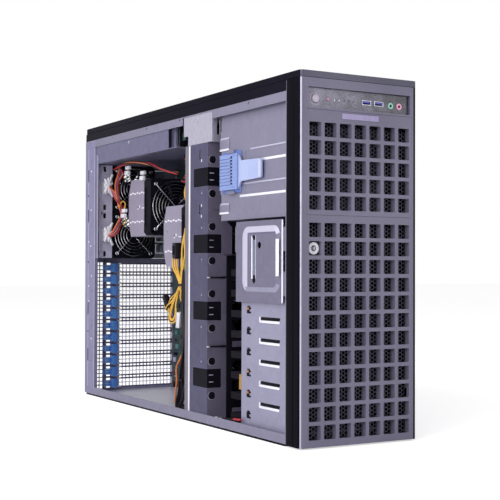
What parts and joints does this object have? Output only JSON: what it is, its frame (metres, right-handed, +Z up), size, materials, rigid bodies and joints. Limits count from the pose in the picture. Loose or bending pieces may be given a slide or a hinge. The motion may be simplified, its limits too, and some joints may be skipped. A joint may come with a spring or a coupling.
{
  "type": "4u gpu server",
  "caption": "Upright four-unit graphics server with its side cover off: hinged grille door, fan wall, tower coolers, drive cage, expansion slots and slide-in power supplies.",
  "frame": {"origin": "centre of the floor under the case, half way between the bezel's front and the supplies' handles", "axes": "+Z up, +Y from the front bezel to the rear, -X out of the open side"},
  "size_m": [0.178, 0.725, 0.462],
  "materials": {
    "galvanised_steel": "satin galvanised sheet",
    "bright_steel": "bright plated steel",
    "wire_chrome": "plated wire",
    "black_plastic": "satin black",
    "cover_black": "near-black paint",
    "bezel_grey": "satin dark grey",
    "mesh_black": "dark perforated sheet",
    "panel_smoke": "smoky gloss",
    "board_green": "solder mask",
    "fin_aluminium": "plain aluminium",
    "clip_blue": "satin blue",
    "latch_blue": "satin light blue",
    "button_white": "gloss white",
    "button_pink": "gloss pink",
    "lead_yellow": "wire sleeve",
    "port_metal": "port shells"
  },
  "bodies": {
    "chassis": {"chassis_shell": "galvanised_steel", "rear_panel": "galvanised_steel", "io_shield": "bright_steel", "slot_covers": "bright_steel", "motherboard": "board_green", "board_sockets": "black_plastic", "memory_modules": "board_green", "cpu_cooler_rear": "fin_aluminium", "cpu_cooler_front": "fin_aluminium", "cooler_fan_rear": "black_plastic", "cooler_fan_front": "black_plastic", "exhaust_fans": "black_plastic", "exhaust_bracket": "galvanised_steel", "fan_guards": "wire_chrome", "fan_wall": "galvanised_steel", "intake_fans": "black_plastic", "psu_cage": "galvanised_steel", "power_board": "board_green", "bay_cage": "galvanised_steel", "bay_blanks": "galvanised_steel", "drive_cage": "galvanised_steel", "drive_cover_plate": "galvanised_steel", "drive_carriers": "black_plastic", "drive_backplane": "board_green", "top_cover": "cover_black", "base_plate": "cover_black", "bezel_frame": "bezel_grey", "control_panel": "panel_smoke", "front_ports": "port_metal", "crossbar_bracket": "bright_steel", "wiring": "lead_yellow", "case_screws": "bright_steel"},
    "door": {"bezel_door": "bezel_grey", "bay_cover": "bezel_grey", "door_mesh": "mesh_black"},
    "lock": {"lock_barrel": "button_white"},
    "power_button": {"power_button": "button_white"},
    "reset_button": {"reset_button": "button_pink"},
    "latch": {"bay_latch": "latch_blue"},
    "intake_rotor_1": {"intake_rotor_1": "black_plastic"},
    "intake_rotor_2": {"intake_rotor_2": "black_plastic"},
    "intake_rotor_3": {"intake_rotor_3": "black_plastic"},
    "intake_rotor_4": {"intake_rotor_4": "black_plastic"},
    "exhaust_rotor_lower": {"exhaust_rotor_lower": "black_plastic"},
    "exhaust_rotor_upper": {"exhaust_rotor_upper": "black_plastic"},
    "cooler_rotor_rear": {"cooler_rotor_rear": "black_plastic"},
    "cooler_rotor_front": {"cooler_rotor_front": "black_plastic"},
    "power_supply_1": {"power_supply_1": "bright_steel"},
    "power_supply_2": {"power_supply_2": "bright_steel"},
    "slot_clip_1": {"slot_clip_1": "clip_blue"},
    "slot_clip_2": {"slot_clip_2": "clip_blue"},
    "slot_clip_3": {"slot_clip_3": "clip_blue"},
    "slot_clip_4": {"slot_clip_4": "clip_blue"},
    "slot_clip_5": {"slot_clip_5": "clip_blue"},
    "slot_clip_6": {"slot_clip_6": "clip_blue"},
    "slot_clip_7": {"slot_clip_7": "clip_blue"},
    "slot_clip_8": {"slot_clip_8": "clip_blue"},
    "slot_clip_9": {"slot_clip_9": "clip_blue"},
    "slot_clip_10": {"slot_clip_10": "clip_blue"},
    "slot_clip_11": {"slot_clip_11": "clip_blue"}
  },
  "joints": [
    {"name": "door_hinge", "type": "hinge", "parent": "chassis", "child": "door", "pos_m": [0.0845, -0.351, 0.227], "axis": [0, 0, 1], "range_deg": [0, 90]},
    {"name": "lock_turn", "type": "hinge", "parent": "door", "child": "lock", "pos_m": [-0.0675, -0.355, 0.2445], "axis": [0, 1, 0], "range_deg": [0, 90]},
    {"name": "power_press", "type": "slide", "parent": "chassis", "child": "power_button", "axis": [0, 1, 0], "range_m": [0, 0.0012], "stiffness_N_per_m": 400},
    {"name": "reset_press", "type": "slide", "parent": "chassis", "child": "reset_button", "axis": [0, 1, 0], "range_m": [0, 0.0012], "stiffness_N_per_m": 300},
    {"name": "latch_slide", "type": "slide", "parent": "chassis", "child": "latch", "axis": [0, 1, 0], "range_m": [0, 0.008]},
    {"name": "intake_spin_1", "type": "hinge", "parent": "chassis", "child": "intake_rotor_1", "pos_m": [-0.005, -0.1, 0.0654], "axis": [0, 1, 0], "continuous": true},
    {"name": "intake_spin_2", "type": "hinge", "parent": "chassis", "child": "intake_rotor_2", "pos_m": [-0.005, -0.1, 0.1598], "axis": [0, 1, 0], "continuous": true},
    {"name": "intake_spin_3", "type": "hinge", "parent": "chassis", "child": "intake_rotor_3", "pos_m": [-0.005, -0.1, 0.2542], "axis": [0, 1, 0], "continuous": true},
    {"name": "intake_spin_4", "type": "hinge", "parent": "chassis", "child": "intake_rotor_4", "pos_m": [-0.005, -0.1, 0.3486], "axis": [0, 1, 0], "continuous": true},
    {"name": "exhaust_spin_lower", "type": "hinge", "parent": "chassis", "child": "exhaust_rotor_lower", "pos_m": [-0.014, 0.32, 0.2772], "axis": [0, 1, 0], "continuous": true},
    {"name": "exhaust_spin_upper", "type": "hinge", "parent": "chassis", "child": "exhaust_rotor_upper", "pos_m": [-0.014, 0.32, 0.3577], "axis": [0, 1, 0], "continuous": true},
    {"name": "cooler_spin_rear", "type": "hinge", "parent": "chassis", "child": "cooler_rotor_rear", "pos_m": [-0.008, 0.155, 0.32], "axis": [0, 1, 0], "continuous": true},
    {"name": "cooler_spin_front", "type": "hinge", "parent": "chassis", "child": "cooler_rotor_front", "pos_m": [-0.008, 0.02, 0.2694], "axis": [0, 1, 0], "continuous": true},
    {"name": "supply_slide_1", "type": "slide", "parent": "chassis", "child": "power_supply_1", "axis": [0, 1, 0], "range_m": [0, 0.33]},
    {"name": "supply_slide_2", "type": "slide", "parent": "chassis", "child": "power_supply_2", "axis": [0, 1, 0], "range_m": [0, 0.33]},
    {"name": "clip_turn_1", "type": "hinge", "parent": "chassis", "child": "slot_clip_1", "pos_m": [-0.0532, 0.3334, 0.017], "axis": [0, 0, -1], "range_deg": [0, 90]},
    {"name": "clip_turn_2", "type": "hinge", "parent": "chassis", "child": "slot_clip_2", "pos_m": [-0.0532, 0.3334, 0.03732], "axis": [0, 0, -1], "range_deg": [0, 90]},
    {"name": "clip_turn_3", "type": "hinge", "parent": "chassis", "child": "slot_clip_3", "pos_m": [-0.0532, 0.3334, 0.05764], "axis": [0, 0, -1], "range_deg": [0, 90]},
    {"name": "clip_turn_4", "type": "hinge", "parent": "chassis", "child": "slot_clip_4", "pos_m": [-0.0532, 0.3334, 0.07796], "axis": [0, 0, -1], "range_deg": [0, 90]},
    {"name": "clip_turn_5", "type": "hinge", "parent": "chassis", "child": "slot_clip_5", "pos_m": [-0.0532, 0.3334, 0.09828], "axis": [0, 0, -1], "range_deg": [0, 90]},
    {"name": "clip_turn_6", "type": "hinge", "parent": "chassis", "child": "slot_clip_6", "pos_m": [-0.0532, 0.3334, 0.1186], "axis": [0, 0, -1], "range_deg": [0, 90]},
    {"name": "clip_turn_7", "type": "hinge", "parent": "chassis", "child": "slot_clip_7", "pos_m": [-0.0532, 0.3334, 0.13892], "axis": [0, 0, -1], "range_deg": [0, 90]},
    {"name": "clip_turn_8", "type": "hinge", "parent": "chassis", "child": "slot_clip_8", "pos_m": [-0.0532, 0.3334, 0.15924], "axis": [0, 0, -1], "range_deg": [0, 90]},
    {"name": "clip_turn_9", "type": "hinge", "parent": "chassis", "child": "slot_clip_9", "pos_m": [-0.0532, 0.3334, 0.17956], "axis": [0, 0, -1], "range_deg": [0, 90]},
    {"name": "clip_turn_10", "type": "hinge", "parent": "chassis", "child": "slot_clip_10", "pos_m": [-0.0532, 0.3334, 0.19988], "axis": [0, 0, -1], "range_deg": [0, 90]},
    {"name": "clip_turn_11", "type": "hinge", "parent": "chassis", "child": "slot_clip_11", "pos_m": [-0.0532, 0.3334, 0.2202], "axis": [0, 0, -1], "range_deg": [0, 90]}
  ]
}
